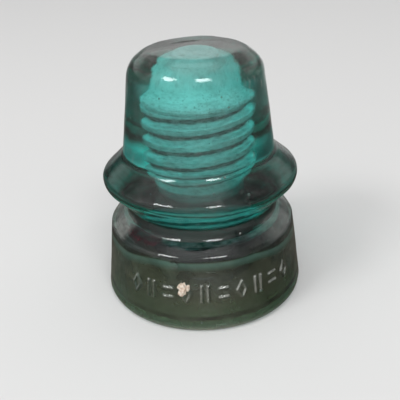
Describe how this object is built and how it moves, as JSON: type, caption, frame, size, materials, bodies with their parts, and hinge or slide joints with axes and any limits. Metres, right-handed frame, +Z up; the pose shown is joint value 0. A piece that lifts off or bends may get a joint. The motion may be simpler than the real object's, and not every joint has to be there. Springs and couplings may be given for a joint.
{
  "type": "pin insulator",
  "caption": "Threaded pin-type glass line insulator with domed crown, flared upper skirt, wire groove, lower skirt and inner petticoat, standing on its rim.",
  "frame": {"origin": "centre of the rim plane that the insulator stands on, on the axis of the pinhole", "axes": "+Z up along the pinhole axis towards the crown, -Y towards the middle of the relief marks, +X to their right"},
  "size_m": [0.0825, 0.0824, 0.101],
  "materials": {
    "aqua_glass": "smooth pressed glass with weathered, hazy inner surfaces",
    "dried_deposit": "matt, chalky"
  },
  "bodies": {
    "root": {"glass_body": "aqua_glass", "deposit_fleck": "dried_deposit"}
  },
  "joints": []
}
